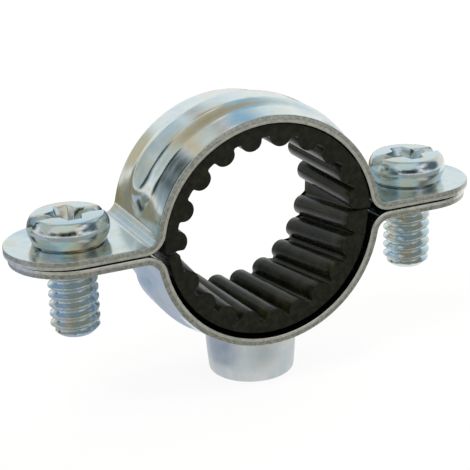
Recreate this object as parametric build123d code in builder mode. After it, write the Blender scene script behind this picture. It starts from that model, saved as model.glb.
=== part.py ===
import os
from math import cos, radians, sin, sqrt

from build123d import *

# Sizes in mm. Origin: on the axis of the clamped pipe, in the split between the halves and
# halfway along the band's width.
# +X runs from the left screw to the right screw, +Y along the pipe away from the viewer, +Z up.

# bands
sheet = 1.0
band_width = 15.2
band_inner_r = 14.4
ring_offset = 0.35
lug_gap = 0.2
screw_to_ring = 8.5
lug_overhang = 0.6
lower_lug_short = 0.5
bend_r = 1.8

# bead pressed outward along the middle of each band
bead_height = 1.05
bead_top_half = 2.0
bead_slope = 1.8
bead_end_deg = 34.0

# lining
upper_seat_gap = 0.15
lower_seat_gap = 0.6
lining_base = 1.5
lobe_r = 1.4
lobe_facets = 20
lobe_count = 10
upper_lobe_start_deg = 12.0
upper_lobe_step_deg = 18.0
lower_lobe_start_deg = -5.5
lower_lobe_step_deg = 16.8
lower_lobe_lean_deg = -9.0
upper_lining_ends_deg = (5.3, 179.0)
lower_lining_ends_deg = (-174.5, 1.2)
lining_recess = 0.3
lower_lining_shift = 0.2
lining_rib_half = 1.7
lining_rib_clearance = 0.25
lining_rib_end_deg = 2.0

# screws
thread_r = 3.15
screw_length = 12.0
head_r = 5.1
head_top_r = 4.65
head_crown_r = 2.2
head_side = 3.1
head_dome = 0.6
head_edge_height = 0.7
slot_width = 1.9
slot_depth = 1.4
cross_span = 6.0
cross_width = 1.8
cross_depth = 2.3
cross_taper_deg = 9.0
tip_chamfer = 0.75

# holes and the drawn collars of the lower lugs
running_gap = 0.06
lug_hole_gap = 0.25
collar_r = 3.6
collar_height = 1.05

# boss with the rod thread
boss_bottom_z = -21.15
boss_bottom_r = 5.65
boss_top_r = 6.0
boss_edge = 0.4
boss_web = 0.3
rod_tap_r = 3.4
rod_chamfer = 0.5

# overlap of joined shapes, and how far cutting shapes stand clear of the surface
joint_overlap = 0.3
cut_clear = 1.0

# derived
band_outer_r = band_inner_r + sheet
band_mid_r = band_inner_r + sheet / 2
bend_mid_r = bend_r + sheet / 2
screw_x = band_outer_r + screw_to_ring
lining_width = band_width - 2 * lining_recess
# the halves are alike: the centre of each half ring lies a little past the split
upper_place = (0, 0, -ring_offset)
lower_place = (0, 0, ring_offset)
lug_rise = ring_offset + lug_gap / 2 + sheet / 2
upper_lug_top_z = lug_gap / 2 + sheet
lower_lug_bottom_z = -upper_lug_top_z
lining_rib_top_r = band_inner_r + bead_height
bead_half = bead_top_half + bead_slope
slope_per_height = bead_slope / bead_height
upper_tip_x = screw_x + lug_overhang + band_width / 2
lower_tip_x = upper_tip_x - lower_lug_short
head_seat_z = upper_lug_top_z
head_rim_z = head_seat_z + head_side
head_top_z = head_rim_z + head_dome
collar_bottom_z = lower_lug_bottom_z - collar_height
bore_top_z = ring_offset - band_outer_r - bead_height - boss_web


def radial_plane(deg, y=0.0):
    """Plane through a half ring's axis at an angle: local x is radial, local y runs along +Y."""
    along = Vector(cos(radians(deg)), 0, sin(radians(deg)))
    return Plane(origin=(0, y, 0), x_dir=along, z_dir=along.cross(Vector(0, 1, 0)))


def side_plane(x=0.0):
    """Upright plane across the pipe, seen from the front, through a vertical axis at x."""
    return Plane((x, 0, 0), x_dir=(1, 0, 0), z_dir=(0, -1, 0))


def strip_body(side, tip_x):
    """Bent strip with round lug ends, round its own ring's centre. side is +1 for the upper band."""
    lug_mid_z = side * lug_rise
    # centre of each lug bend, found from the tangent circles
    bend_z = lug_mid_z + side * bend_mid_r
    bend_x = sqrt((band_mid_r + bend_mid_r) ** 2 - bend_z**2)
    reach = sqrt(bend_x**2 + bend_z**2)
    toward_bend = Vector(bend_x / reach, bend_z / reach)
    bend_middle = (Vector(0, -side) - toward_bend).normalized()
    with BuildPart() as strip:
        with BuildSketch(Plane.XZ):
            with BuildLine():
                # the outer face of the sheet lies on the inside of the lug bends
                for half, ring_r in ((sheet / 2, band_outer_r), (-sheet / 2, band_inner_r)):
                    lug_z = lug_mid_z + side * half
                    touch = toward_bend * ring_r
                    middle = Vector(bend_x, bend_z) + bend_middle * (bend_mid_r - half)
                    for mirror in (1, -1):
                        Line((mirror * tip_x, lug_z), (mirror * bend_x, lug_z))
                        ThreePointArc(
                            (mirror * bend_x, lug_z),
                            (mirror * middle.X, middle.Y),
                            (mirror * touch.X, touch.Y),
                        )
                    ThreePointArc((touch.X, touch.Y), (0, side * ring_r), (-touch.X, touch.Y))
                for x in (tip_x, -tip_x):
                    Line((x, lug_mid_z + sheet / 2), (x, lug_mid_z - sheet / 2))
            make_face()
        extrude(amount=band_width / 2, both=True)
        # the plan outline rounds the lug ends
        with BuildSketch(Plane.XY):
            SlotOverall(2 * tip_x, band_width)
        extrude(amount=band_outer_r + cut_clear, both=True, mode=Mode.INTERSECT)
    return strip.part


def bead_body(side, base_r, run_depth, nose_depth):
    """Bead along a band: a trapezoid swept round the pipe axis, with a round nose at each end."""
    top_r = base_r + bead_height
    with BuildPart() as bead:
        start_deg = side * bead_end_deg
        wide = bead_half + run_depth * slope_per_height
        with BuildSketch(radial_plane(start_deg)):
            Polygon(
                (top_r, bead_top_half),
                (base_r - run_depth, wide),
                (base_r - run_depth, -wide),
                (top_r, -bead_top_half),
                align=None,
            )
        revolve(axis=Axis.Y, revolution_arc=-side * (180 - 2 * bead_end_deg))
        wide = bead_half + nose_depth * slope_per_height
        for deg, turn in ((start_deg, -side), (side * 180 - start_deg, side)):
            with BuildSketch(radial_plane(deg)):
                Polygon(
                    (top_r, 0),
                    (top_r, bead_top_half),
                    (base_r - nose_depth, wide),
                    (base_r - nose_depth, 0),
                    align=None,
                )
            along = (cos(radians(deg)), 0, sin(radians(deg)))
            revolve(axis=Axis((0, 0, 0), along), revolution_arc=turn * 180)
    return bead.part


def lining_body(side, seat_gap, start_deg, step_deg, ends_deg, shift, lean_deg):
    """Rubber strip between two angles, with half-round ribs inside and a rib seated in the bead."""
    end_low, end_high = ends_deg
    lining_outer_r = band_inner_r - seat_gap
    lining_floor_r = lining_outer_r - lining_base
    with BuildPart() as lining:
        # base strip
        with BuildSketch(radial_plane(end_low, shift)):
            with Locations(((lining_floor_r + lining_outer_r) / 2, 0)):
                Rectangle(lining_base, lining_width)
        revolve(axis=Axis.Y, revolution_arc=end_low - end_high)
        # half-round ribs that grip the pipe, each leaning round the ring toward the back
        for k in range(lobe_count):
            front = radians(start_deg + side * k * step_deg)
            back = front + radians(lean_deg)
            for at, depth in ((front, lining_width / 2), (back, -lining_width / 2)):
                with BuildSketch(Plane.XZ.offset(depth - shift)):
                    with Locations((lining_floor_r * cos(at), lining_floor_r * sin(at))):
                        RegularPolygon(lobe_r, lobe_facets)
            loft(ruled=True)
        # rib that sits in the bead's channel
        foot_r = lining_outer_r - joint_overlap
        foot_half = lining_rib_half + slope_per_height * (lining_rib_top_r - foot_r)
        foot_half -= lining_rib_clearance
        with BuildSketch(radial_plane(side * (bead_end_deg + lining_rib_end_deg))):
            Polygon(
                (lining_rib_top_r, lining_rib_half),
                (foot_r, foot_half),
                (foot_r, -foot_half),
                (lining_rib_top_r, -lining_rib_half),
                align=None,
            )
        revolve(axis=Axis.Y, revolution_arc=-side * (180 - 2 * (bead_end_deg + lining_rib_end_deg)))
    return lining.part


def screw_body(x):
    """Screw with a domed cheese head, a slot and a cross recess. The thread is a plain cylinder."""
    tip_z = head_seat_z - screw_length
    with BuildPart() as screw:
        with BuildSketch(side_plane(x)):
            Polygon(
                (0, head_top_z),
                (0, tip_z),
                (thread_r - tip_chamfer, tip_z),
                (thread_r, tip_z + tip_chamfer),
                (thread_r, head_seat_z),
                (head_r, head_seat_z),
                (head_r, head_rim_z - head_edge_height),
                (head_top_r, head_rim_z),
                (head_crown_r, head_top_z),
                align=None,
            )
        revolve(axis=Axis((x, 0, 0), (0, 0, 1)))
        # slot right across the head
        with BuildSketch(Plane.XY.offset(head_top_z - slot_depth)):
            with Locations((x, 0)):
                Rectangle(2 * (head_r + cut_clear), slot_width)
        extrude(amount=slot_depth + cut_clear, mode=Mode.SUBTRACT)
        # cross recess, narrowing downward
        with BuildSketch(Plane.XY.offset(head_top_z)):
            with Locations((x, 0)):
                Rectangle(cross_span, cross_width)
                Rectangle(cross_width, cross_span)
        extrude(amount=-cross_depth, taper=cross_taper_deg, mode=Mode.SUBTRACT)
    return screw.part


# outer shapes of the beads, and the channels they leave inside the bands
upper_bead = bead_body(1, band_outer_r, joint_overlap, sheet)
upper_channel = bead_body(1, band_inner_r, cut_clear, 2 * cut_clear)
lower_bead = bead_body(-1, band_outer_r, joint_overlap, sheet)
lower_channel = bead_body(-1, band_inner_r, cut_clear, 2 * cut_clear)

# upper band
upper_strip = strip_body(1, upper_tip_x)
with BuildPart() as upper_band:
    with Locations(upper_place):
        add(upper_strip)
        add(upper_bead)
        add(upper_channel, mode=Mode.SUBTRACT)
    with BuildSketch(Plane.XY):
        with Locations((-screw_x, 0), (screw_x, 0)):
            Circle(thread_r + lug_hole_gap)
    extrude(amount=upper_lug_top_z + cut_clear, mode=Mode.SUBTRACT)

# lower band, with a drawn collar for each screw
lower_strip = strip_body(-1, lower_tip_x)
with BuildPart() as lower_band:
    with Locations(lower_place):
        add(lower_strip)
        add(lower_bead)
        add(lower_channel, mode=Mode.SUBTRACT)
    with BuildSketch(Plane.XY.offset(collar_bottom_z)):
        with Locations((-screw_x, 0), (screw_x, 0)):
            Circle(collar_r)
    extrude(amount=collar_height + joint_overlap)
    with BuildSketch(Plane.XY.offset(collar_bottom_z - cut_clear)):
        with Locations((-screw_x, 0), (screw_x, 0)):
            Circle(thread_r + running_gap)
    extrude(amount=collar_height + sheet + 2 * cut_clear, mode=Mode.SUBTRACT)

# boss under the lower band, its top shaped to the band and its bead
with BuildPart() as boss:
    with BuildSketch(Plane.XZ):
        Polygon(
            (0, ring_offset - band_mid_r),
            (boss_top_r, ring_offset - sqrt(band_mid_r**2 - boss_top_r**2)),
            (boss_bottom_r, boss_bottom_z + boss_edge),
            (boss_bottom_r - boss_edge, boss_bottom_z),
            (0, boss_bottom_z),
            align=None,
        )
    revolve(axis=Axis.Z)
    with BuildSketch(Plane.XZ):
        with Locations((0, ring_offset)):
            Circle(band_outer_r)
    extrude(amount=band_width, both=True, mode=Mode.SUBTRACT)
    with Locations(lower_place):
        add(lower_bead, mode=Mode.SUBTRACT)
    # bore of the rod thread, closed above by a thin web
    with BuildSketch(Plane.XY.offset(boss_bottom_z)):
        Circle(rod_tap_r)
    extrude(amount=bore_top_z - boss_bottom_z, mode=Mode.SUBTRACT)
    with BuildSketch(Plane.XZ):
        Polygon(
            (0, boss_bottom_z),
            (rod_tap_r + rod_chamfer, boss_bottom_z),
            (rod_tap_r, boss_bottom_z + rod_chamfer),
            (0, boss_bottom_z + rod_chamfer),
            align=None,
        )
    revolve(axis=Axis.Z, mode=Mode.SUBTRACT)

# linings, each slid a little way round in its band
upper_rubber = lining_body(
    1, upper_seat_gap, upper_lobe_start_deg, upper_lobe_step_deg, upper_lining_ends_deg, 0.0, 0.0
)
with BuildPart() as upper_lining:
    with Locations(upper_place):
        add(upper_rubber)

lower_rubber = lining_body(
    -1, lower_seat_gap, lower_lobe_start_deg, lower_lobe_step_deg, lower_lining_ends_deg,
    lower_lining_shift, lower_lobe_lean_deg,
)
with BuildPart() as lower_lining:
    with Locations(lower_place):
        add(lower_rubber)

# screws
left_shape = screw_body(-screw_x)
with BuildPart() as left_screw:
    add(left_shape)

right_shape = screw_body(screw_x)
with BuildPart() as right_screw:
    add(right_shape)

pieces = {
    "upper_band": upper_band,
    "lower_band": lower_band,
    "boss": boss,
    "upper_lining": upper_lining,
    "lower_lining": lower_lining,
    "left_screw": left_screw,
    "right_screw": right_screw,
}

os.makedirs("parts", exist_ok=True)
for name, piece in pieces.items():
    piece.part.label = name
    export_step(piece.part, f"parts/{name}.step")
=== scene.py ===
from math import asin, atan2, cos, degrees, pi, radians, sin, sqrt

import bmesh
import bpy
from mathutils import Matrix, Vector


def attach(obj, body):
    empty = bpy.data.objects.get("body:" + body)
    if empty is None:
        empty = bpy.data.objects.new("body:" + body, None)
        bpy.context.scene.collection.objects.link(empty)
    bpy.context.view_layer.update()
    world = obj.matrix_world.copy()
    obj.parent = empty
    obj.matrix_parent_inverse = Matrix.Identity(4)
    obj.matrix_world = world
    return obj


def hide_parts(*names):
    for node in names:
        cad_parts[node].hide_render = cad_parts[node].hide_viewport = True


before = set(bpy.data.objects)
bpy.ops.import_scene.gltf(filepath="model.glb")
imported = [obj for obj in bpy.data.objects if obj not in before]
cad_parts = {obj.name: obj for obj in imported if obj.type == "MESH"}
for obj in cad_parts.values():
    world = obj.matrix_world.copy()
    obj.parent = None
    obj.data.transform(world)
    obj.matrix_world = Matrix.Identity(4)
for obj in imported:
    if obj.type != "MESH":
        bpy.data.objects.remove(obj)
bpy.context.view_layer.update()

print("clamp frame loaded")

mm = 0.001  # everything below is written in millimetres and scaled once, on the way into a mesh


# helpers

def toLinear(hexColour):
    # sRGB hex to the linear RGBA that the nodes want
    parts = [int(hexColour[i:i + 2], 16) / 255 for i in (1, 3, 5)]
    return [c / 12.92 if c <= 0.04045 else ((c + 0.055) / 1.055) ** 2.4 for c in parts] + [1.0]


def addNode(tree, kind, settings=None, links=None):
    # small first letter: a property of the node. Capital or number: one of its sockets
    node = tree.nodes.new(kind)
    for name, value in (settings or {}).items():
        if name == "stops":
            ramp = node.color_ramp
            while len(ramp.elements) < len(value):
                ramp.elements.new(0.5)
            for element, (at, colour) in zip(ramp.elements, value):
                element.position = at
                element.color = toLinear(colour) if isinstance(colour, str) else (colour, colour, colour, 1)
        elif isinstance(name, int) or name[0].isupper():
            node.inputs[name].default_value = value
        else:
            setattr(node, name, value)
    for name, source in (links or {}).items():
        tree.links.new(source, node.inputs[name])
    return node


def startMaterial(name):
    material = bpy.data.materials.new(name)
    material.use_nodes = True
    material.node_tree.nodes.clear()
    return material, material.node_tree


mergeBelow = 1e-7  # metres; corners closer than this are one corner


def meshPiece(name, points, faces, materials):
    # points in mm, faces as (corner list, material number)
    made = bmesh.new()
    corners = [made.verts.new(Vector(p) * mm) for p in points]
    for loop, number in faces:
        unique = [corners[i] for i in loop]
        if len(set(unique)) == len(unique):
            face = made.faces.new(unique)
            face.material_index = number
    bmesh.ops.remove_doubles(made, verts=made.verts[:], dist=mergeBelow)
    bmesh.ops.dissolve_degenerate(made, edges=made.edges[:], dist=mergeBelow)
    bmesh.ops.recalc_face_normals(made, faces=made.faces[:])
    mesh = bpy.data.meshes.new(name)
    made.to_mesh(mesh)
    made.free()
    piece = bpy.data.objects.new(name, mesh)
    bpy.context.scene.collection.objects.link(piece)
    for material in materials:
        mesh.materials.append(material)
    return piece


def smoothPiece(piece, sharpAbove=35):
    for face in piece.data.polygons:
        face.use_smooth = True
    piece.data.set_sharp_from_angle(angle=radians(sharpAbove))


def bakeModifiers(piece):
    bpy.context.view_layer.update()
    shown = piece.evaluated_get(bpy.context.evaluated_depsgraph_get())
    result = bpy.data.meshes.new_from_object(shown)
    piece.modifiers.clear()
    piece.data = result


def combine(piece, tool, how):
    # one exact boolean, applied at once, and the tool is thrown away
    step = piece.modifiers.new("combine", "BOOLEAN")
    step.operation = how
    step.solver = "EXACT"
    step.object = tool
    bakeModifiers(piece)
    bpy.data.objects.remove(tool)


def lathe(name, outline, centreX, materials, steps=96, number=0):
    # closed turned shape round an upright axis; the outline runs from axis to axis as (radius, z)
    points = []
    faces = []
    rows = len(outline)
    for i in range(steps):
        turn = 2 * pi * i / steps
        points += [(centreX + r * cos(turn), r * sin(turn), z) for r, z in outline]
    for i in range(steps):
        here = i * rows
        there = (i + 1) % steps * rows
        for j in range(rows - 1):
            faces.append(((here + j, here + j + 1, there + j + 1, there + j), number))
    return meshPiece(name, points, faces, materials)


def easeBump(distance, topHalf, slope, soften):
    # 1 on the flat top, falling to 0 on a soft S-shaped flank
    start = topHalf - soften
    end = topHalf + slope + soften
    t = min(max((distance - start) / (end - start), 0.0), 1.0)
    return 0.5 + 0.5 * cos(pi * t)


# finishes

zincSheet = {
    "cool": "#C6D6E0",
    "warm": "#DAD7C9",
    "pale": "#DCE3E4",
    "patchSize": 5.0,
    "rollLine": 0.28,
    "rollLength": 8.333,
    "ripple": 1.6,
    "roughLow": 0.13,
    "roughHigh": 0.23,
}


def makeBrightZincSheet():
    # Bright zinc plate over cold rolled strip, then pressed. The eye gets a soft blue white mirror
    # with a faint warm bloom, fine lines along the strip and slow ripples from the press.
    v = zincSheet
    material, tree = startMaterial("brightZincSheet")
    where = addNode(tree, "ShaderNodeTexCoord").outputs["Object"]
    patch = addNode(tree, "ShaderNodeTexNoise",
                    {"Scale": 1 / (v["patchSize"] * mm), "Detail": 3.0, "Roughness": 0.55},
                    {"Vector": where})
    colour = addNode(tree, "ShaderNodeValToRGB",
                     {"stops": [(0.36, v["cool"]), (0.52, v["pale"]), (0.66, v["warm"])]},
                     {0: patch.outputs[0]})
    # rolling lines run along the strip, so the noise is squeezed only along the pipe axis;
    # real ones are finer, and these are as coarse as they need to be to show
    along = 1 / (v["rollLength"] * mm)
    squeezed = addNode(tree, "ShaderNodeMapping", {"Scale": (along, 1 / (v["rollLine"] * mm), along)},
                       {"Vector": where})
    lines = addNode(tree, "ShaderNodeTexNoise", {"Scale": 1.0, "Detail": 2.0},
                    {"Vector": squeezed.outputs[0]})
    waves = addNode(tree, "ShaderNodeTexNoise", {"Scale": 1 / (v["ripple"] * mm), "Detail": 1.0},
                    {"Vector": where})
    rough = addNode(tree, "ShaderNodeMapRange",
                    {"From Min": 0.3, "From Max": 0.7, "To Min": v["roughLow"], "To Max": v["roughHigh"]},
                    {"Value": lines.outputs[0]})
    fine = addNode(tree, "ShaderNodeBump", {"Strength": 0.25, "Distance": 0.004 * mm},
                   {"Height": lines.outputs[0]})
    slow = addNode(tree, "ShaderNodeBump", {"Strength": 0.35, "Distance": 0.03 * mm},
                   {"Height": waves.outputs[0], "Normal": fine.outputs[0]})
    shader = addNode(tree, "ShaderNodeBsdfPrincipled", {"Metallic": 1.0},
                     {"Base Color": colour.outputs[0], "Roughness": rough.outputs[0],
                      "Normal": slow.outputs[0]})
    addNode(tree, "ShaderNodeOutputMaterial", links={"Surface": shader.outputs[0]})
    return material


tornEdge = {
    "light": "#C4C5BF",
    "dull": "#9B9D96",
    "tearSize": 0.35,
    "tearDepth": 0.035,
    "roughLow": 0.3,
    "roughHigh": 0.46,
}
burnishedEdge = {
    "light": "#E6E6DF",
    "dull": "#CFD0C9",
    "tearSize": 0.8,
    "tearDepth": 0.012,
    "roughLow": 0.24,
    "roughHigh": 0.36,
}


def makeZincEdge(name, v):
    # Blanked edge of the strip under the same plate, in two bands: the punch leaves a smooth,
    # pale band and then the steel tears, which the eye sees as a duller, grainy line.
    material, tree = startMaterial(name)
    where = addNode(tree, "ShaderNodeTexCoord").outputs["Object"]
    tear = addNode(tree, "ShaderNodeTexNoise", {"Scale": 1 / (v["tearSize"] * mm), "Detail": 4.0},
                   {"Vector": where})
    colour = addNode(tree, "ShaderNodeValToRGB", {"stops": [(0.35, v["dull"]), (0.6, v["light"])]},
                     {0: tear.outputs[0]})
    rough = addNode(tree, "ShaderNodeMapRange",
                    {"From Min": 0.3, "From Max": 0.7, "To Min": v["roughLow"], "To Max": v["roughHigh"]},
                    {"Value": tear.outputs[0]})
    bump = addNode(tree, "ShaderNodeBump", {"Strength": 0.5, "Distance": v["tearDepth"] * mm},
                   {"Height": tear.outputs[0]})
    shader = addNode(tree, "ShaderNodeBsdfPrincipled", {"Metallic": 1.0},
                     {"Base Color": colour.outputs[0], "Roughness": rough.outputs[0],
                      "Normal": bump.outputs[0]})
    addNode(tree, "ShaderNodeOutputMaterial", links={"Surface": shader.outputs[0]})
    return material


zincScrew = {
    "cool": "#C9DBE6",
    "warm": "#D8D6CA",
    "patchSize": 2.5,
    "dieMark": 0.3,
    "roughLow": 0.12,
    "roughHigh": 0.24,
}


def makeBrightZincScrew():
    # Bright zinc plate over a cold headed screw: a blue mirror that turns a little warm
    # where the plate is thin, with soft die marks.
    v = zincScrew
    material, tree = startMaterial("brightZincScrew")
    where = addNode(tree, "ShaderNodeTexCoord").outputs["Object"]
    patch = addNode(tree, "ShaderNodeTexNoise", {"Scale": 1 / (v["patchSize"] * mm), "Detail": 2.0},
                    {"Vector": where})
    colour = addNode(tree, "ShaderNodeValToRGB", {"stops": [(0.42, v["cool"]), (0.66, v["warm"])]},
                     {0: patch.outputs[0]})
    marks = addNode(tree, "ShaderNodeTexNoise", {"Scale": 1 / (v["dieMark"] * mm), "Detail": 3.0},
                    {"Vector": where})
    rough = addNode(tree, "ShaderNodeMapRange",
                    {"From Min": 0.3, "From Max": 0.7, "To Min": v["roughLow"], "To Max": v["roughHigh"]},
                    {"Value": marks.outputs[0]})
    bump = addNode(tree, "ShaderNodeBump", {"Strength": 0.3, "Distance": 0.012 * mm},
                   {"Height": marks.outputs[0]})
    shader = addNode(tree, "ShaderNodeBsdfPrincipled", {"Metallic": 1.0},
                     {"Base Color": colour.outputs[0], "Roughness": rough.outputs[0],
                      "Normal": bump.outputs[0]})
    addNode(tree, "ShaderNodeOutputMaterial", links={"Surface": shader.outputs[0]})
    return material


zincBoss = {
    "cool": "#B7C0C4",
    "pale": "#CCD0CF",
    "cloudSize": 1.5,
    "turningFeed": 0.18,
    "turningLength": 16.667,
    "roughLow": 0.32,
    "roughHigh": 0.46,
}


def makeTurnedZincBoss():
    # Turned steel boss, barrel plated: the tool's fine rings make the zinc satin,
    # so it shows soft gradients and hardly any picture of the room.
    v = zincBoss
    material, tree = startMaterial("turnedZincBoss")
    where = addNode(tree, "ShaderNodeTexCoord").outputs["Object"]
    around = 1 / (v["turningLength"] * mm)
    stretched = addNode(tree, "ShaderNodeMapping", {"Scale": (around, around, 1 / (v["turningFeed"] * mm))},
                        {"Vector": where})
    rings = addNode(tree, "ShaderNodeTexNoise", {"Scale": 1.0, "Detail": 2.0},
                    {"Vector": stretched.outputs[0]})
    cloud = addNode(tree, "ShaderNodeTexNoise", {"Scale": 1 / (v["cloudSize"] * mm), "Detail": 4.0},
                    {"Vector": where})
    colour = addNode(tree, "ShaderNodeValToRGB", {"stops": [(0.35, v["cool"]), (0.65, v["pale"])]},
                     {0: cloud.outputs[0]})
    rough = addNode(tree, "ShaderNodeMapRange",
                    {"From Min": 0.3, "From Max": 0.7, "To Min": v["roughLow"], "To Max": v["roughHigh"]},
                    {"Value": cloud.outputs[0]})
    bump = addNode(tree, "ShaderNodeBump", {"Strength": 0.3, "Distance": 0.008 * mm},
                   {"Height": rings.outputs[0]})
    shader = addNode(tree, "ShaderNodeBsdfPrincipled", {"Metallic": 1.0},
                     {"Base Color": colour.outputs[0], "Roughness": rough.outputs[0],
                      "Normal": bump.outputs[0]})
    addNode(tree, "ShaderNodeOutputMaterial", links={"Surface": shader.outputs[0]})
    return material


mouldedRubber = {
    "black": "#13130B",
    "bloom": "#2A2919",
    "bloomSize": 1.8,
    "skinLine": 0.22,
    "skinLength": 6.25,
    "roughLow": 0.22,
    "roughHigh": 0.34,
}


def makeMouldedRubber():
    # EPDM rubber with a moulded skin: nearly black, a satin sheen along the ribs
    # and a faint olive bloom.
    v = mouldedRubber
    material, tree = startMaterial("mouldedRubber")
    where = addNode(tree, "ShaderNodeTexCoord").outputs["Object"]
    across = 1 / (v["skinLine"] * mm)
    drawn = addNode(tree, "ShaderNodeMapping", {"Scale": (across, 1 / (v["skinLength"] * mm), across)},
                    {"Vector": where})
    skin = addNode(tree, "ShaderNodeTexNoise", {"Scale": 1.0, "Detail": 2.0}, {"Vector": drawn.outputs[0]})
    cloud = addNode(tree, "ShaderNodeTexNoise", {"Scale": 1 / (v["bloomSize"] * mm), "Detail": 4.0},
                    {"Vector": where})
    colour = addNode(tree, "ShaderNodeValToRGB", {"stops": [(0.4, v["black"]), (0.7, v["bloom"])]},
                     {0: cloud.outputs[0]})
    rough = addNode(tree, "ShaderNodeMapRange",
                    {"From Min": 0.3, "From Max": 0.7, "To Min": v["roughLow"], "To Max": v["roughHigh"]},
                    {"Value": skin.outputs[0]})
    bump = addNode(tree, "ShaderNodeBump", {"Strength": 0.4, "Distance": 0.02 * mm},
                   {"Height": skin.outputs[0]})
    shader = addNode(tree, "ShaderNodeBsdfPrincipled", {"IOR": 1.52, "Specular IOR Level": 0.26},
                     {"Base Color": colour.outputs[0], "Roughness": rough.outputs[0],
                      "Normal": bump.outputs[0]})
    addNode(tree, "ShaderNodeOutputMaterial", links={"Surface": shader.outputs[0]})
    return material


cutRubber = {
    "dark": "#15150F",
    "torn": "#24241A",
    "grain": 0.16,
    "pit": 0.7,
}


def makeCutRubber():
    # The same rubber where it was sliced from the long strip: matt, a little paler and grainy.
    v = cutRubber
    material, tree = startMaterial("cutRubber")
    where = addNode(tree, "ShaderNodeTexCoord").outputs["Object"]
    grain = addNode(tree, "ShaderNodeTexNoise", {"Scale": 1 / (v["grain"] * mm), "Detail": 3.0},
                    {"Vector": where})
    pits = addNode(tree, "ShaderNodeTexNoise", {"Scale": 1 / (v["pit"] * mm), "Detail": 4.0},
                   {"Vector": where})
    colour = addNode(tree, "ShaderNodeValToRGB", {"stops": [(0.38, v["dark"]), (0.66, v["torn"])]},
                     {0: pits.outputs[0]})
    small = addNode(tree, "ShaderNodeBump", {"Strength": 0.6, "Distance": 0.03 * mm},
                    {"Height": grain.outputs[0]})
    large = addNode(tree, "ShaderNodeBump", {"Strength": 0.5, "Distance": 0.06 * mm},
                    {"Height": pits.outputs[0], "Normal": small.outputs[0]})
    shader = addNode(tree, "ShaderNodeBsdfPrincipled", {"Roughness": 0.66, "Specular IOR Level": 0.22},
                     {"Base Color": colour.outputs[0], "Normal": large.outputs[0]})
    addNode(tree, "ShaderNodeOutputMaterial", links={"Surface": shader.outputs[0]})
    return material


brightZincSheet = makeBrightZincSheet()
shearedZincEdge = makeZincEdge("shearedZincEdge", tornEdge)
burnishedZincEdge = makeZincEdge("burnishedZincEdge", burnishedEdge)
brightZincScrew = makeBrightZincScrew()
turnedZincBoss = makeTurnedZincBoss()
mouldedRubberSkin = makeMouldedRubber()
cutRubberFace = makeCutRubber()
bandFinishes = [brightZincSheet, shearedZincEdge, burnishedZincEdge]
print("finishes made")


# pressed bands

band = {
    "sheet": 1.0,
    "width": 15.2,
    "innerRadius": 14.4,
    "ringOffset": 0.35,  # each ring's centre lies this far past the split
    "lugGap": 0.2,
    "screwAt": 23.9,
    "lugOverhang": 0.6,  # the round end's centre lies this far past the screw
    "lowerLugShort": 0.5,
    "bendRadius": 1.8,
    "beadHeight": 1.05,
    "beadTopHalf": 2.0,
    "beadSlope": 1.8,
    "beadSoften": 0.35,
    "beadEndAngle": 34.0,  # up from the split
    "noseStretch": 0.72,
    "marginLean": 0.105,  # rise of the sheet beside the bead, for each mm from the edge
    "marginStart": 3.0,
    "marginFade": 5.5,
    "cornerRadius": 0.13,
    "tearAt": -0.08,  # height in the sheet where the smooth band of the cut edge ends
    "acrossSteps": 56,
    "ringSteps": 90,
    "bendSteps": 10,
    "lugSteps": 8,
    "tipSteps": 16,
}


def bandHeight(angle, across):
    # how far the bead lifts the sheet at a place on the ring; angle from the top of its own half
    v = band
    past = max(0.0, abs(angle) - radians(90 - v["beadEndAngle"])) * v["innerRadius"]
    distance = sqrt(across ** 2 + (v["noseStretch"] * past) ** 2)
    # the press drags the sheet beside the bead up a little, so the margins lean toward their edges
    edge = v["width"] / 2
    fade = 0.5 + 0.5 * cos(pi * min(past / v["marginFade"], 1.0))
    margin = v["marginLean"] * max(0.0, edge - max(distance, v["marginStart"])) * fade
    crest = v["marginLean"] * (edge - v["marginStart"]) * fade
    bump = easeBump(distance, v["beadTopHalf"], v["beadSlope"], v["beadSoften"])
    return (v["beadHeight"] - crest) * bump + margin


def halfPath(lugHeight, tipX):
    # stations from the top of the ring to the tip of the right lug: place, outward direction,
    # angle from the top (ring only) and how far round the lug's end
    v = band
    midRadius = v["innerRadius"] + v["sheet"] / 2
    bendMid = v["bendRadius"] + v["sheet"] / 2
    bendZ = lugHeight + bendMid
    bendX = sqrt((midRadius + bendMid) ** 2 - bendZ ** 2)
    touch = atan2(bendZ, bendX)
    stations = []
    for i in range(v["ringSteps"] + 1):
        turn = pi / 2 + (touch - pi / 2) * i / v["ringSteps"]
        outward = (cos(turn), sin(turn))
        stations.append(((midRadius * outward[0], midRadius * outward[1]), outward, pi / 2 - turn, 0))
    for i in range(1, v["bendSteps"] + 1):
        turn = touch + pi + (pi / 2 - touch) * i / v["bendSteps"]
        stations.append(((bendX + bendMid * cos(turn), bendZ + bendMid * sin(turn)),
                         (-cos(turn), -sin(turn)), None, 0))
    tipCentre = tipX - v["width"] / 2
    for i in range(1, v["lugSteps"] + 1):
        stations.append(((bendX + (tipCentre - bendX) * i / v["lugSteps"], lugHeight), (0, 1), None, 0))
    for i in range(1, v["tipSteps"] + 1):
        stations.append(((tipCentre, lugHeight), (0, 1), None, pi / 2 * i / v["tipSteps"]))
    return stations


def sectionRound(count):
    # one trip round the sheet's section, as (share of the half width, inset at the corner,
    # height, whether it is on the cut edge)
    v = band
    half = v["sheet"] / 2
    r = v["cornerRadius"]
    trip = []
    for side, top in ((1, 1), (-1, -1)):
        for j in range(count + 1):
            trip.append((side * (-1 + 2 * j / count), r, top * half, False))
        for step in (30, 60, 90):
            a = radians(step)
            trip.append((side, r - r * sin(a), top * (half - r + r * cos(a)), True))
        trip.append((side, 0.0, v["tearAt"], True))
        for step in (90, 120, 150):
            a = radians(step)
            trip.append((side, r - r * sin(a), top * (-(half - r) + r * cos(a)), True))
    return trip


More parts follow.
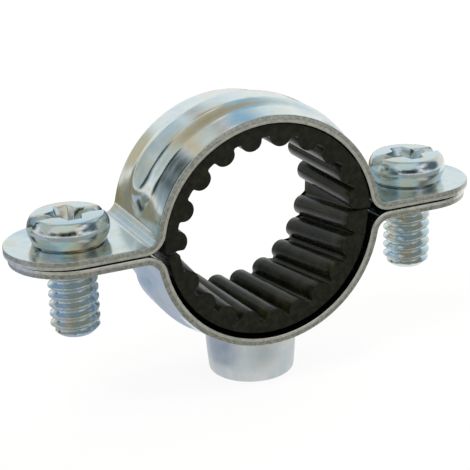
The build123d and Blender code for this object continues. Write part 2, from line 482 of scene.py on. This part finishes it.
def makeBand(name, side, materials):
    v = band
    # worked out upright round the ring's own centre, then turned over for the lower half
    lugHeight = v["ringOffset"] + v["lugGap"] / 2 + v["sheet"] / 2
    tipX = v["screwAt"] + v["lugOverhang"] + v["width"] / 2 - (v["lowerLugShort"] if side < 0 else 0)
    right = halfPath(lugHeight, tipX)
    left = [((-p[0], p[1]), (-n[0], n[1]), angle, -tip) for p, n, angle, tip in right[1:]]
    stations = left[::-1] + right
    trip = sectionRound(v["acrossSteps"])
    points = []
    for place, normal, angle, tip in stations:
        for share, inset, height, _ in trip:
            reach = v["width"] / 2 - inset
            across = share * reach * cos(tip)
            lift = bandHeight(angle, across) if angle is not None else 0
            x = place[0] + normal[0] * (height + lift) + reach * sin(tip)
            z = place[1] + normal[1] * (height + lift)
            points.append((x, across, side * (z - v["ringOffset"])))
    faces = []
    count = len(trip)
    for i in range(len(stations) - 1):
        for j in range(count):
            k = (j + 1) % count
            middle = (trip[j][2] + trip[k][2]) / 2
            number = 0  # of the finish, in the order of bandFinishes
            if trip[j][3] and trip[k][3]:
                number = 1 if middle > v["tearAt"] else 2
            here = i * count
            there = here + count
            faces.append(((here + j, here + k, there + k, there + j), number))
    return meshPiece(name, points, faces, materials)


lugHole = {
    "threadRadius": 3.15,
    "clearance": 0.25,
    "collarClearance": 0.07,
    "edgeBreak": 0.12,
    "cutterSpare": 1.0,
}
collar = {
    "rootRadius": 4.1,
    "topRadius": 3.72,
    "bottomRadius": 3.52,
    "height": 1.05,
    "rootDrop": 0.4,
    "edgeRound": 0.14,
    "sunk": 0.3,
}


def holeTool(centreX, radius, low, high):
    # cutter for one screw hole, opened a little at both faces so that the hole has no knife edge
    edge = lugHole["edgeBreak"]
    spare = lugHole["cutterSpare"]
    wide = radius + edge + spare
    outline = [(0, low - spare), (wide, low - spare), (radius, low + edge), (radius, high - edge),
               (wide, high + spare), (0, high + spare)]
    return lathe("holeTool", outline, centreX, [brightZincSheet, shearedZincEdge], number=1)


def collarTool(centreX, top):
    # the collar drawn down out of the lower lug, with a soft root and a rolled lip
    v = collar
    low = top - v["height"]
    r = v["edgeRound"]
    outline = [(0, top + v["sunk"]), (v["rootRadius"], top + v["sunk"]), (v["rootRadius"], top)]
    for step in range(1, 6):
        a = radians(step * 18)
        outline.append((v["rootRadius"] - (v["rootRadius"] - v["topRadius"]) * sin(a),
                        top - v["rootDrop"] * (1 - cos(a))))
    outline += [(v["bottomRadius"], low + r), (v["bottomRadius"] - r * 0.3, low + r * 0.3),
                (v["bottomRadius"] - r, low), (0, low)]
    return lathe("collarTool", outline, centreX, [brightZincSheet, shearedZincEdge])


upperLugLow = band["lugGap"] / 2
upperLugHigh = upperLugLow + band["sheet"]
lowerLugHigh = -band["lugGap"] / 2
lowerLugLow = lowerLugHigh - band["sheet"]

upperBand = makeBand("upperBand", 1, bandFinishes)
lowerBand = makeBand("lowerBand", -1, bandFinishes)
clearRadius = lugHole["threadRadius"] + lugHole["clearance"]
collarRadius = lugHole["threadRadius"] + lugHole["collarClearance"]
for centreX in (-band["screwAt"], band["screwAt"]):
    combine(upperBand, holeTool(centreX, clearRadius, upperLugLow, upperLugHigh), "DIFFERENCE")
    combine(lowerBand, collarTool(centreX, lowerLugLow), "UNION")
    collarEnd = lowerLugLow - collar["height"]
    combine(lowerBand, holeTool(centreX, collarRadius, collarEnd, lowerLugHigh), "DIFFERENCE")
for piece in (upperBand, lowerBand):
    smoothPiece(piece)
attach(upperBand, "upper_half")
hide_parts("upper_band")
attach(lowerBand, "lower_half")
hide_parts("lower_band")
print("bands pressed")


# threads, shared by the screws and the boss

def threadShape(phase, rootShare=0.22, crestShare=0.14):
    # 0 at the root and 1 at the crest of a thread, for a phase of 0 to 1 along one pitch;
    # away is 0 in the middle of the crest and 1 in the middle of the root
    away = abs((phase + 0.5) % 1.0 - 0.5) * 2
    t = min(max((away - crestShare) / (1 - crestShare - rootShare), 0.0), 1.0)
    return 1 - (0.75 * t + 0.25 * (0.5 - 0.5 * cos(pi * t)))


def threadWall(points, faces, radiusAt, pitch, low, high, steps, perPitch, centreX):
    # wall whose rows follow the helix, so each crest stays one clean line;
    # gives back the point numbers of its bottom and top rings
    rows = int((high - low + pitch) / pitch * perPitch) + 1
    first = len(points)
    for i in range(steps):
        rise = pitch * i / steps
        for j in range(rows + 1):
            z = min(max(low - pitch + pitch * j / perPitch + rise, low), high)
            phase = (z - rise) / pitch
            r = radiusAt(phase, z)
            turn = 2 * pi * i / steps
            points.append((centreX + r * cos(turn), r * sin(turn), z))
    for i in range(steps):
        shift = perPitch if i == steps - 1 else 0
        here = first + i * (rows + 1)
        there = first + (i + 1) % steps * (rows + 1)
        for j in range(rows - shift):
            faces.append(((here + j, here + j + 1, there + j + 1 + shift, there + j + shift), 0))
    bottom = [first + i * (rows + 1) for i in range(steps)]
    top = [first + i * (rows + 1) + rows for i in range(steps)]
    return bottom, top


def ringFaces(faces, lower, upper):
    count = len(lower)
    for i in range(count):
        k = (i + 1) % count
        faces.append(((lower[i], lower[k], upper[k], upper[i]), 0))


def closeRing(points, faces, ring, centre):
    # flat end as a fan round a point in its middle
    points.append(centre)
    count = len(ring)
    for i in range(count):
        faces.append(((ring[i], ring[(i + 1) % count], len(points) - 1), 0))


# screws

screw = {
    "crestRadius": lugHole["threadRadius"],
    "threadDepth": 0.72,
    "pitch": 1.27,
    "length": 12.0,
    "tipChamfer": 0.75,
    "tipFlat": 0.12,
    "tipInset": 0.16,
    "shankInHead": 0.3,
    "headRadius": 5.1,
    "headRim": 3.45,
    "headDome": 0.15,
    "topFall": 0.12,
    "ridgeStep": 0.05,
    "sideRound": 2.3,
    "ridgeAngle": 44.0,
    "footAngle": 32.0,
    "foot": [(0.5, 0.0), (0.46, 0.1), (0.2, 0.16), (0.1, 0.26)],  # in from the side, up from the lug
    "slotWidth": 1.9,
    "slotDepth": 1.4,
    "slotMouth": 0.12,
    "slotTaper": 0.06,
    "slotCutter": 14.0,
    "crossSpan": 6.0,
    "crossWidth": 1.8,
    "crossDepth": 2.3,
    "cornerOut": 1.55,  # how far the inner corners of the cross lie out, in half widths
    "edgeSoften": 0.08,
    "turnSteps": 72,
    "rowsPerPitch": 14,
}


def screwShank(centreX, seat):
    v = screw
    tip = seat - v["length"]
    low = tip + v["tipFlat"]
    high = seat + v["shankInHead"]
    tipRadius = v["crestRadius"] - v["tipChamfer"]

    def radiusAt(phase, z):
        r = v["crestRadius"] - v["threadDepth"] * (1 - threadShape(phase))
        return min(r, tipRadius + z - low)

    points = []
    faces = []
    bottom, top = threadWall(points, faces, radiusAt, v["pitch"], low, high,
                             v["turnSteps"], v["rowsPerPitch"], centreX)
    flat = []
    for i in range(v["turnSteps"]):
        turn = 2 * pi * i / v["turnSteps"]
        r = tipRadius - v["tipInset"]
        flat.append(len(points))
        points.append((centreX + r * cos(turn), r * sin(turn), tip))
    ringFaces(faces, flat, bottom)
    closeRing(points, faces, flat, (centreX, 0, tip))
    closeRing(points, faces, top, (centreX, 0, high))
    return meshPiece("shank", points, faces, [brightZincScrew])


def screwHead(name, centreX, seat):
    v = screw
    rim = seat + v["headRim"]
    crown = rim + v["headDome"]
    # bulging side as one arc, from the tucked-in foot up to the ridge round the top
    bulge = v["sideRound"]
    axisRadius = v["headRadius"] - bulge
    middle = rim - bulge * sin(radians(v["ridgeAngle"]))
    side = axisRadius + bulge * cos(radians(v["footAngle"]))
    outline = [(0, seat)] + [(side - inset, seat + rise) for inset, rise in v["foot"]]
    for step in range(15):
        a = radians(-v["footAngle"] + (v["footAngle"] + v["ridgeAngle"]) * step / 14)
        outline.append((axisRadius + bulge * cos(a), middle + bulge * sin(a)))
    # nearly flat top that only falls away toward the ridge
    topRadius = outline[-1][0] - v["ridgeStep"]
    for step in range(12):
        share = 1 - step / 12
        outline.append((topRadius * share, crown - v["topFall"] * share ** 2.2))
    outline.append((0, crown))
    return lathe(name, outline, centreX, [brightZincScrew])


def slotTool(centreX, crown):
    # slot straight across the head, a little wider at its mouth
    v = screw
    half = v["slotWidth"] / 2
    oneSide = [(half + v["slotMouth"], crown + 1), (half, crown - 0.5),
               (half - v["slotTaper"], crown - v["slotDepth"])]
    section = [(-y, z) for y, z in oneSide] + oneSide[::-1]
    points = [(centreX + end * v["slotCutter"] / 2, y, z) for end in (-1, 1) for y, z in section]
    count = len(section)
    faces = [((i, (i + 1) % count, (i + 1) % count + count, i + count), 0) for i in range(count)]
    faces += [(tuple(range(count)), 0), (tuple(range(count, 2 * count)), 0)]
    return meshPiece("slotTool", points, faces, [brightZincScrew])


def crossTool(centreX, crown):
    # cross recess whose four wings run inward and narrow as they go down;
    # each level is its height, the wings' reach and half their width
    v = screw
    span, wing, depth = v["crossSpan"] / 2, v["crossWidth"] / 2, v["crossDepth"]
    levels = [(crown + 0.6, span + 0.2, wing + 0.1), (crown - 0.5, span - 0.3, wing - 0.1),
              (crown - depth * 0.75, span - 1.3, wing - 0.35), (crown - depth, 0.75, 0.4)]
    points = []
    for z, reach, half in levels:
        corner = half * v["cornerOut"]
        for quarter in range(4):
            turn = quarter * pi / 2
            for a, b in ((reach, -half), (reach, half), (corner, corner)):
                points.append((centreX + a * cos(turn) - b * sin(turn), a * sin(turn) + b * cos(turn), z))
    faces = []
    for level in range(3):
        for i in range(12):
            k = (i + 1) % 12
            faces.append(((level * 12 + i, level * 12 + k, level * 12 + 12 + k, level * 12 + 12 + i), 0))
    faces += [(tuple(range(12)), 0), (tuple(range(36, 48)), 0)]
    return meshPiece("crossTool", points, faces, [brightZincScrew])


def makeScrew(name, centreX):
    v = screw
    crown = upperLugHigh + v["headRim"] + v["headDome"]
    head = screwHead(name, centreX, upperLugHigh)
    combine(head, slotTool(centreX, crown), "DIFFERENCE")
    combine(head, crossTool(centreX, crown), "DIFFERENCE")
    soften = head.modifiers.new("soften", "BEVEL")
    soften.width = v["edgeSoften"] * mm
    soften.segments = 2
    soften.limit_method = "ANGLE"
    soften.angle_limit = radians(38)
    bakeModifiers(head)
    combine(head, screwShank(centreX, upperLugHigh), "UNION")
    smoothPiece(head, 40)
    return head


for name, side, body, node in (("leftScrew", -1, "left_screw", "left_screw"),
                               ("rightScrew", 1, "right_screw", "right_screw")):
    made = makeScrew(name, side * band["screwAt"])
    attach(made, body)
    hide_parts(node)
print("screws headed and threaded")


# boss with the rod thread

boss = {
    "bottom": -21.15,
    "bottomRadius": 5.65,
    "topRadius": 6.0,
    "bottomRound": 0.5,
    "wallRise": 3.7,
    "weldFlare": 0.18,
    "weldDrop": 0.2,
    "web": 0.3,  # left between the blind thread and the band
    "tapRadius": 3.4,
    "threadDepth": 0.6,
    "pitch": 1.25,
    "mouthChamfer": 0.6,
    "turnSteps": 120,
    "rowsPerPitch": 10,
    "sink": 0.04,
}


def bandUnderside(x, y):
    # height of the lower band's outer face above a place on the floor, near the bottom of the ring
    outer = band["innerRadius"] + band["sheet"] + bandHeight(0, y)
    return band["ringOffset"] - sqrt(outer ** 2 - x ** 2)


def makeBoss():
    v = boss
    steps = v["turnSteps"]
    points = []
    faces = []
    floorZ = band["ringOffset"] - (band["innerRadius"] + band["sheet"] + band["beadHeight"] + v["web"])

    def flatRing(radius, z):
        first = len(points)
        for i in range(steps):
            turn = 2 * pi * i / steps
            points.append((radius * cos(turn), radius * sin(turn), z))
        return list(range(first, first + steps))

    def ringUnderBand(radius, rise):
        # ring that follows the band's outer face and its bead
        first = len(points)
        for i in range(steps):
            turn = 2 * pi * i / steps
            x, y = radius * cos(turn), radius * sin(turn)
            points.append((x, y, bandUnderside(x, y) + rise))
        return list(range(first, first + steps))

    def threadRadius(phase, z):
        return v["tapRadius"] + v["threadDepth"] * (1 - threadShape(phase, 0.3, 0.1))

    rings = []
    for share in (0.25, 0.5, 0.75, 0.95, 1.0):
        rings.append(ringUnderBand((v["topRadius"] + v["weldFlare"]) * share, v["sink"]))
    rings.append(ringUnderBand(v["topRadius"] + v["sink"], -v["weldDrop"]))
    # tapered wall, then the rounded bottom edge
    for share in (0.55, 0.35, 0.15):
        rings.append(flatRing(v["bottomRadius"] + (v["topRadius"] - v["bottomRadius"]) * share,
                              v["bottom"] + v["bottomRound"] + v["wallRise"] * share))
    for step in range(0, 91, 15):
        a = radians(step)
        rings.append(flatRing(v["bottomRadius"] - v["bottomRound"] * (1 - cos(a)),
                              v["bottom"] + v["bottomRound"] * (1 - sin(a))))
    rings.append(flatRing(v["tapRadius"] + v["mouthChamfer"], v["bottom"]))
    for lower, upper in zip(rings[1:], rings):
        ringFaces(faces, lower, upper)
    # threaded wall, from the chamfer up to the web
    low = v["bottom"] + v["mouthChamfer"]
    bottom, top = threadWall(points, faces, threadRadius, v["pitch"], low, floorZ,
                             steps, v["rowsPerPitch"], 0)
    ringFaces(faces, rings[-1], bottom)
    closeRing(points, faces, top, (0, 0, floorZ))
    closeRing(points, faces, rings[0], (0, 0, bandUnderside(0, 0) + v["sink"]))
    return meshPiece("threadedBoss", points, faces, [turnedZincBoss])


threadedBoss = makeBoss()
smoothPiece(threadedBoss, 38)
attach(threadedBoss, "lower_half")
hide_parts("boss")
print("boss turned and tapped")


# ribbed rubber linings

lining = {
    "upperGap": 0.15,
    "lowerGap": 0.6,
    "base": 1.5,
    "ribRadius": 1.4,
    "rootRound": 0.32,
    "width": 14.6,
    "rimRound": 0.16,
    "seatTop": 15.4,
    "seatTopHalf": 1.75,
    "seatSlope": 1.5,
    "seatSoften": 0.3,
    "seatEndAngle": 37.0,
    "alongSteps": 10,
    "outerSteps": 28,
    # ends and ribs in degrees, anticlockwise from the right
    "upperEnds": (5.3, 179.0),
    "lowerEnds": (-174.5, 1.2),
    "upperRibs": (12, 29, 46.5, 64.5, 82.5, 100.5, 118, 136.5, 156, 174),
    "lowerRibs": (-156.5, -138.5, -121.5, -105, -88, -72, -55, -38, -21, -5.5),
    "lowerShift": 0.2,
    "lowerLean": -9.0,  # how far the lower ribs turn from front to back
}


def ribSteps():
    # one rib as (distance along the floor, height above it): root, half round, root
    v = lining
    r, f = v["ribRadius"], v["rootRound"]
    foot = sqrt((r + f) ** 2 - f ** 2)
    meet = asin(f / (r + f))
    half = []
    for step in range(4):
        a = -pi / 2 + (pi / 2 - meet) * step / 3  # root arc, from the floor up to the rib
        half.append((-foot + f * cos(a), f + f * sin(a)))
    for step in range(1, 8):
        a = pi - meet - (pi / 2 - meet) * step / 7
        half.append((r * cos(a), r * sin(a)))
    return half + [(-t, h) for t, h in half[-2::-1]]


def innerLine(ribs, ends, floorRadius):
    # inside face of a lining as (angle in degrees, radius), from one end to the other
    line = [(ends[0], floorRadius)]
    for at in ribs:
        for t, h in ribSteps():
            line.append((at + degrees(t / (floorRadius - h)), floorRadius - h))
        line.append(None)
    line[-1] = (ends[1], floorRadius)
    spread = []
    for i, spot in enumerate(line):
        if spot is None:  # a floor point halfway to the next rib
            spot = ((line[i - 1][0] + line[i + 1][0]) / 2, floorRadius)
        spread.append((min(max(spot[0], ends[0]), ends[1]), spot[1]))
    return spread


def polar(angle, radius):
    return radius * cos(radians(angle)), radius * sin(radians(angle))


def insideRows(ribs, ends, floorRadius, lean):
    # ribbed inside as rows along the pipe, front to back, each as (x, y, z) round its own centre;
    # the first and last rows step back from the surface to round the rims
    v = lining
    half = v["width"] / 2
    rim = v["rimRound"]
    rimArc = [(0, 1), (0.13, 0.5), (0.5, 0.13)]  # shares of the round: in along the pipe, into the rubber
    length = 2 * (half - rim)
    places = [(rim * a - half, rim * b) for a, b in rimArc]
    places += [(rim - half + length * k / v["alongSteps"], 0) for k in range(v["alongSteps"] + 1)]
    places += [(half - rim * a, rim * b) for a, b in rimArc[::-1]]
    rows = []
    for y, inset in places:
        leaning = lean * (y + half) / v["width"]
        flat = [polar(a, r) for a, r in innerLine([at + leaning for at in ribs], ends, floorRadius)]
        row = []
        for i, (x, z) in enumerate(flat):
            before = flat[max(i - 1, 0)]
            after = flat[min(i + 1, len(flat) - 1)]
            dx, dz = after[0] - before[0], after[1] - before[1]
            size = sqrt(dx * dx + dz * dz) or 1
            # the line runs anticlockwise, so its right-hand side points out into the rubber
            row.append((x + dz / size * inset, y, z - dx / size * inset))
        rows.append(row)
    return rows


def outsideRow(angle, outerRadius):
    # outside of the lining at one angle, back to front, with the rib that sits in the bead's channel
    v = lining
    past = radians(max(0.0, abs(abs(angle) - 90) - (90 - v["seatEndAngle"]))) * outerRadius
    row = []
    for k in range(v["outerSteps"] + 1):
        y = v["width"] / 2 - v["width"] * k / v["outerSteps"]
        bump = easeBump(sqrt(y * y + past * past), v["seatTopHalf"], v["seatSlope"], v["seatSoften"])
        x, z = polar(angle, outerRadius + (v["seatTop"] - outerRadius) * bump)
        row.append((x, y, z))
    return row


def between(start, end):
    # two points on the way from one corner of the section to the next
    return [tuple(Vector(start).lerp(Vector(end), share)) for share in (0.33, 0.67)]


def makeLining(name, ribs, ends, side, gap, shift, lean):
    outerRadius = band["innerRadius"] - gap
    floorRadius = outerRadius - lining["base"]
    lift = -side * band["ringOffset"]
    inside = insideRows(ribs, ends, floorRadius, lean)
    points = []
    loops = []
    for i, (angle, _) in enumerate(innerLine(ribs, ends, floorRadius)):
        front = [row[i] for row in inside]
        back = outsideRow(angle, outerRadius)
        section = front + between(front[-1], back[0]) + back + between(back[-1], front[0])
        loops.append(range(len(points), len(points) + len(section)))
        points += [(x, y + shift, z + lift) for x, y, z in section]
    faces = []
    for here, there in zip(loops, loops[1:]):
        for j in range(len(here)):
            k = (j + 1) % len(here)
            faces.append(((here[j], here[k], there[k], there[j]), 0))
    faces += [(tuple(loops[0]), 0), (tuple(loops[-1]), 0)]
    made = meshPiece(name, points, faces, [mouldedRubberSkin, cutRubberFace])
    for face in made.data.polygons:
        if abs(face.normal.y) > 0.8:  # the front and back are cut, the rest is moulded
            face.material_index = 1
    return made


upperLining = makeLining("upperLining", lining["upperRibs"], lining["upperEnds"], 1,
                         lining["upperGap"], 0, 0)
lowerLining = makeLining("lowerLining", lining["lowerRibs"], lining["lowerEnds"], -1,
                         lining["lowerGap"], lining["lowerShift"], lining["lowerLean"])
for piece, body, node in ((upperLining, "upper_half", "upper_lining"),
                          (lowerLining, "lower_half", "lower_lining")):
    smoothPiece(piece, 50)
    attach(piece, body)
    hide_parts(node)
print("linings moulded")


# floor, lights and camera

room = {
    "floorColour": "#F4F4F2",
    "floorGlow": 0.9,
    "floorSize": 8000,
    "floorGap": 0.02,
    # sky by height, from under the horizon to overhead
    "skyStops": [(0.46, "#B9B5A6"), (0.5, "#F4F1E8"), (0.58, "#FAFDFB"), (0.67, "#F0F8FA"),
                 (0.8, "#D6E4E8"), (0.92, "#B6B09D"), (1.0, "#A29A85")],
    # what stands in it: compass bearing (0 is straight behind the clamp, 90 its right), height,
    # how far round it reaches, how far it is full, all in degrees, and its colour
    "surroundings": [
        (-86, 42, 28, 14, "#C6CCC2"),
        (-125, 36, 22, 10, "#EAE6F0"),
        (-45, 12, 17, 10, "#262D22"),
        (-37, 30, 12, 7, "#2E3327"),
        (-28, 8, 12, 6, "#B9C9D2"),
        (-15, 25, 12, 7, "#B9C9D2"),
        (-15, 7, 14, 7, "#C8C0A6"),
        (-24, 39, 7, 3, "#EBCDA6"),
        (4, 33, 9, 2, "#A59582"),
        (22, 41, 15, 8, "#A3C3D6"),
        (6, 44, 6, 3, "#FFFFFF"),
        (120, 20, 30, 14, "#5C6A70"),
        (-160, 13, 30, 19, "#211F1D"),
        (-150, 52, 34, 20, "#DDE6DA"),
    ],
    # patchy yard in front of the clamp, placed in the same way
    "yard": (-162, 0, 100, 72),
    "yardPatches": 3.2,
    "yardStops": [(0.4, "#3E3D38"), (0.46, "#AC9F88"), (0.52, "#CFCBD6"), (0.58, "#FFFFFF")],
    "worldStrength": 1.0,
    # name, place, size, watts and colour of the lamps, all aimed at the clamp
    "softboxes": [
        ("keySoftbox", (-200, -120, 420), 300, 1.6, "#FFFDF8"),
        ("fillSoftbox", (320, 160, 260), 240, 1.2, "#FFFCF0"),
    ],
    # name, middle, size and colour of the cards that lie just over the floor
    "cards": [
        ("groundCard", (20, -118), (420, 216), "#A7A8A0"),
        ("leftGroundCard", (-149, 35), (282, 88), "#B7BFCF"),
        ("backGroundCard", (-60, 230), (420, 300), "#8E8A72"),
    ],
    "cardHeight": 0.25,
}


def flatSheet(name, middle, size, z, material):
    left, front = middle[0] - size[0] / 2, middle[1] - size[1] / 2
    right, back = left + size[0], front + size[1]
    points = [(left, front, z), (right, front, z), (right, back, z), (left, back, z)]
    return meshPiece(name, points, [((0, 1, 2, 3), 0)], [material])


def makeFloor():
    # white to the camera and to mirrors, a plain floor to the light, so that it keeps the shadow
    v = room
    material, tree = startMaterial("paleFloor")
    seen = addNode(tree, "ShaderNodeLightPath")
    plain = addNode(tree, "ShaderNodeBsdfDiffuse", {"Color": toLinear(v["floorColour"])})
    white = addNode(tree, "ShaderNodeEmission", {"Color": (1, 1, 1, 1), "Strength": 1.0})
    either = addNode(tree, "ShaderNodeMath", {"operation": "MAXIMUM"},
                     {0: seen.outputs["Is Camera Ray"], 1: seen.outputs["Is Glossy Ray"]})
    anyOf = addNode(tree, "ShaderNodeMath", {"operation": "MAXIMUM"},
                    {0: either.outputs[0], 1: seen.outputs["Is Transmission Ray"]})
    share = addNode(tree, "ShaderNodeMath", {"operation": "MULTIPLY", 1: v["floorGlow"]},
                    {0: anyOf.outputs[0]})
    both = addNode(tree, "ShaderNodeMixShader",
                   links={0: share.outputs[0], 1: plain.outputs[0], 2: white.outputs[0]})
    addNode(tree, "ShaderNodeOutputMaterial", links={"Surface": both.outputs[0]})
    floor = flatSheet("floor", (0, 0), (v["floorSize"], v["floorSize"]), boss["bottom"] - v["floorGap"],
                      material)


def nearness(tree, where, bearing, height, reach, full):
    # 0 to 1 as a direction comes within reach of the given one, all in degrees
    level = cos(radians(height))
    toward = (sin(radians(bearing)) * level, cos(radians(bearing)) * level, sin(radians(height)))
    near = addNode(tree, "ShaderNodeVectorMath", {"operation": "DOT_PRODUCT", 1: toward}, {0: where})
    return addNode(tree, "ShaderNodeMapRange",
                   {"interpolation_type": "SMOOTHSTEP", "From Min": cos(radians(reach)),
                    "From Max": cos(radians(full))}, {"Value": near.outputs["Value"]}).outputs[0]


def blend(tree, share, under, over):
    # colours given as hex or as a socket
    mix = addNode(tree, "ShaderNodeMix", {"data_type": "RGBA"}, {0: share})
    for socket, colour in ((6, under), (7, over)):
        if isinstance(colour, str):
            mix.inputs[socket].default_value = toLinear(colour)
        else:
            tree.links.new(colour, mix.inputs[socket])
    return mix.outputs[2]


def makeWorld():
    # an open yard for the metal to mirror: bright low sky behind, trees overhead, patchy yard in front
    v = room
    world = bpy.data.worlds.new("yard")
    bpy.context.scene.world = world
    world.use_nodes = True
    tree = world.node_tree
    tree.nodes.clear()
    where = addNode(tree, "ShaderNodeTexCoord").outputs["Generated"]
    up = addNode(tree, "ShaderNodeSeparateXYZ", links={0: where})
    level = addNode(tree, "ShaderNodeMapRange", {"From Min": -1.0, "From Max": 1.0},
                    {"Value": up.outputs["Z"]})
    sky = addNode(tree, "ShaderNodeValToRGB", {"stops": v["skyStops"]}, {0: level.outputs[0]})
    patches = addNode(tree, "ShaderNodeTexNoise", {"Scale": v["yardPatches"], "Detail": 3.0},
                      {"Vector": where})
    yard = addNode(tree, "ShaderNodeValToRGB", {"stops": v["yardStops"]}, {0: patches.outputs[0]})
    colour = blend(tree, nearness(tree, where, *v["yard"]), sky.outputs[0], yard.outputs[0])
    for *place, shade in v["surroundings"]:
        colour = blend(tree, nearness(tree, where, *place), colour, shade)
    light = addNode(tree, "ShaderNodeBackground", {"Strength": v["worldStrength"]}, {"Color": colour})
    addNode(tree, "ShaderNodeOutputWorld", links={"Surface": light.outputs[0]})


def addSoftbox(name, place, size, watts, colour):
    light = bpy.data.lights.new(name, "AREA")
    light.shape = "SQUARE"
    light.size = size * mm
    light.energy = watts
    light.color = toLinear(colour)[:3]
    holder = bpy.data.objects.new(name, light)
    bpy.context.scene.collection.objects.link(holder)
    holder.location = Vector(place) * mm
    holder.rotation_euler = (-Vector(place)).to_track_quat("-Z", "Y").to_euler()
    holder.visible_glossy = False  # it only lights the rubber; the bright metal mirrors the yard


def addCard(name, middle, size, colour):
    # a coloured patch of ground that only the metal and rubber mirror
    material, tree = startMaterial(name)
    shader = addNode(tree, "ShaderNodeEmission", {"Color": toLinear(colour), "Strength": 1.0})
    addNode(tree, "ShaderNodeOutputMaterial", links={"Surface": shader.outputs[0]})
    card = flatSheet(name, middle, size, boss["bottom"] + room["cardHeight"], material)
    card.visible_camera = False
    card.visible_diffuse = False
    card.visible_shadow = False


camera = {
    # fitted to the photograph: degrees, then mm, then pixels
    "turn": 24.092,
    "rise": 20.149,
    "roll": -2.070,
    "distance": 185.966,
    "sideways": -1.572,
    "upward": -2.4535,
    "focalPixels": 1443.06,
    "imagePixels": 470,
    "sensorWidth": 36,
}


def makeCamera():
    v = camera
    turn, rise, roll = radians(v["turn"]), radians(v["rise"]), radians(v["roll"])
    back = Vector((-sin(turn) * cos(rise), -cos(turn) * cos(rise), sin(rise)))
    right = (-back).cross(Vector((0, 0, 1))).normalized()
    up = right.cross(-back)
    rolledRight = right * cos(roll) + up * sin(roll)
    rolledUp = up * cos(roll) - right * sin(roll)
    place = back * v["distance"] + right * v["sideways"] + up * v["upward"]
    lens = bpy.data.cameras.new("photoCamera")
    lens.sensor_width = v["sensorWidth"]
    lens.lens = v["focalPixels"] / v["imagePixels"] * v["sensorWidth"]
    lens.clip_start = 0.01
    holder = bpy.data.objects.new("photoCamera", lens)
    bpy.context.scene.collection.objects.link(holder)
    axes = Matrix((rolledRight, rolledUp, back)).transposed()
    holder.matrix_world = Matrix.Translation(place * mm) @ axes.to_4x4()
    bpy.context.scene.camera = holder


makeFloor()
makeWorld()
for softbox in room["softboxes"]:
    addSoftbox(*softbox)
for card in room["cards"]:
    addCard(*card)
makeCamera()
bpy.context.scene.view_settings.view_transform = "Standard"
print("room lit, camera set")
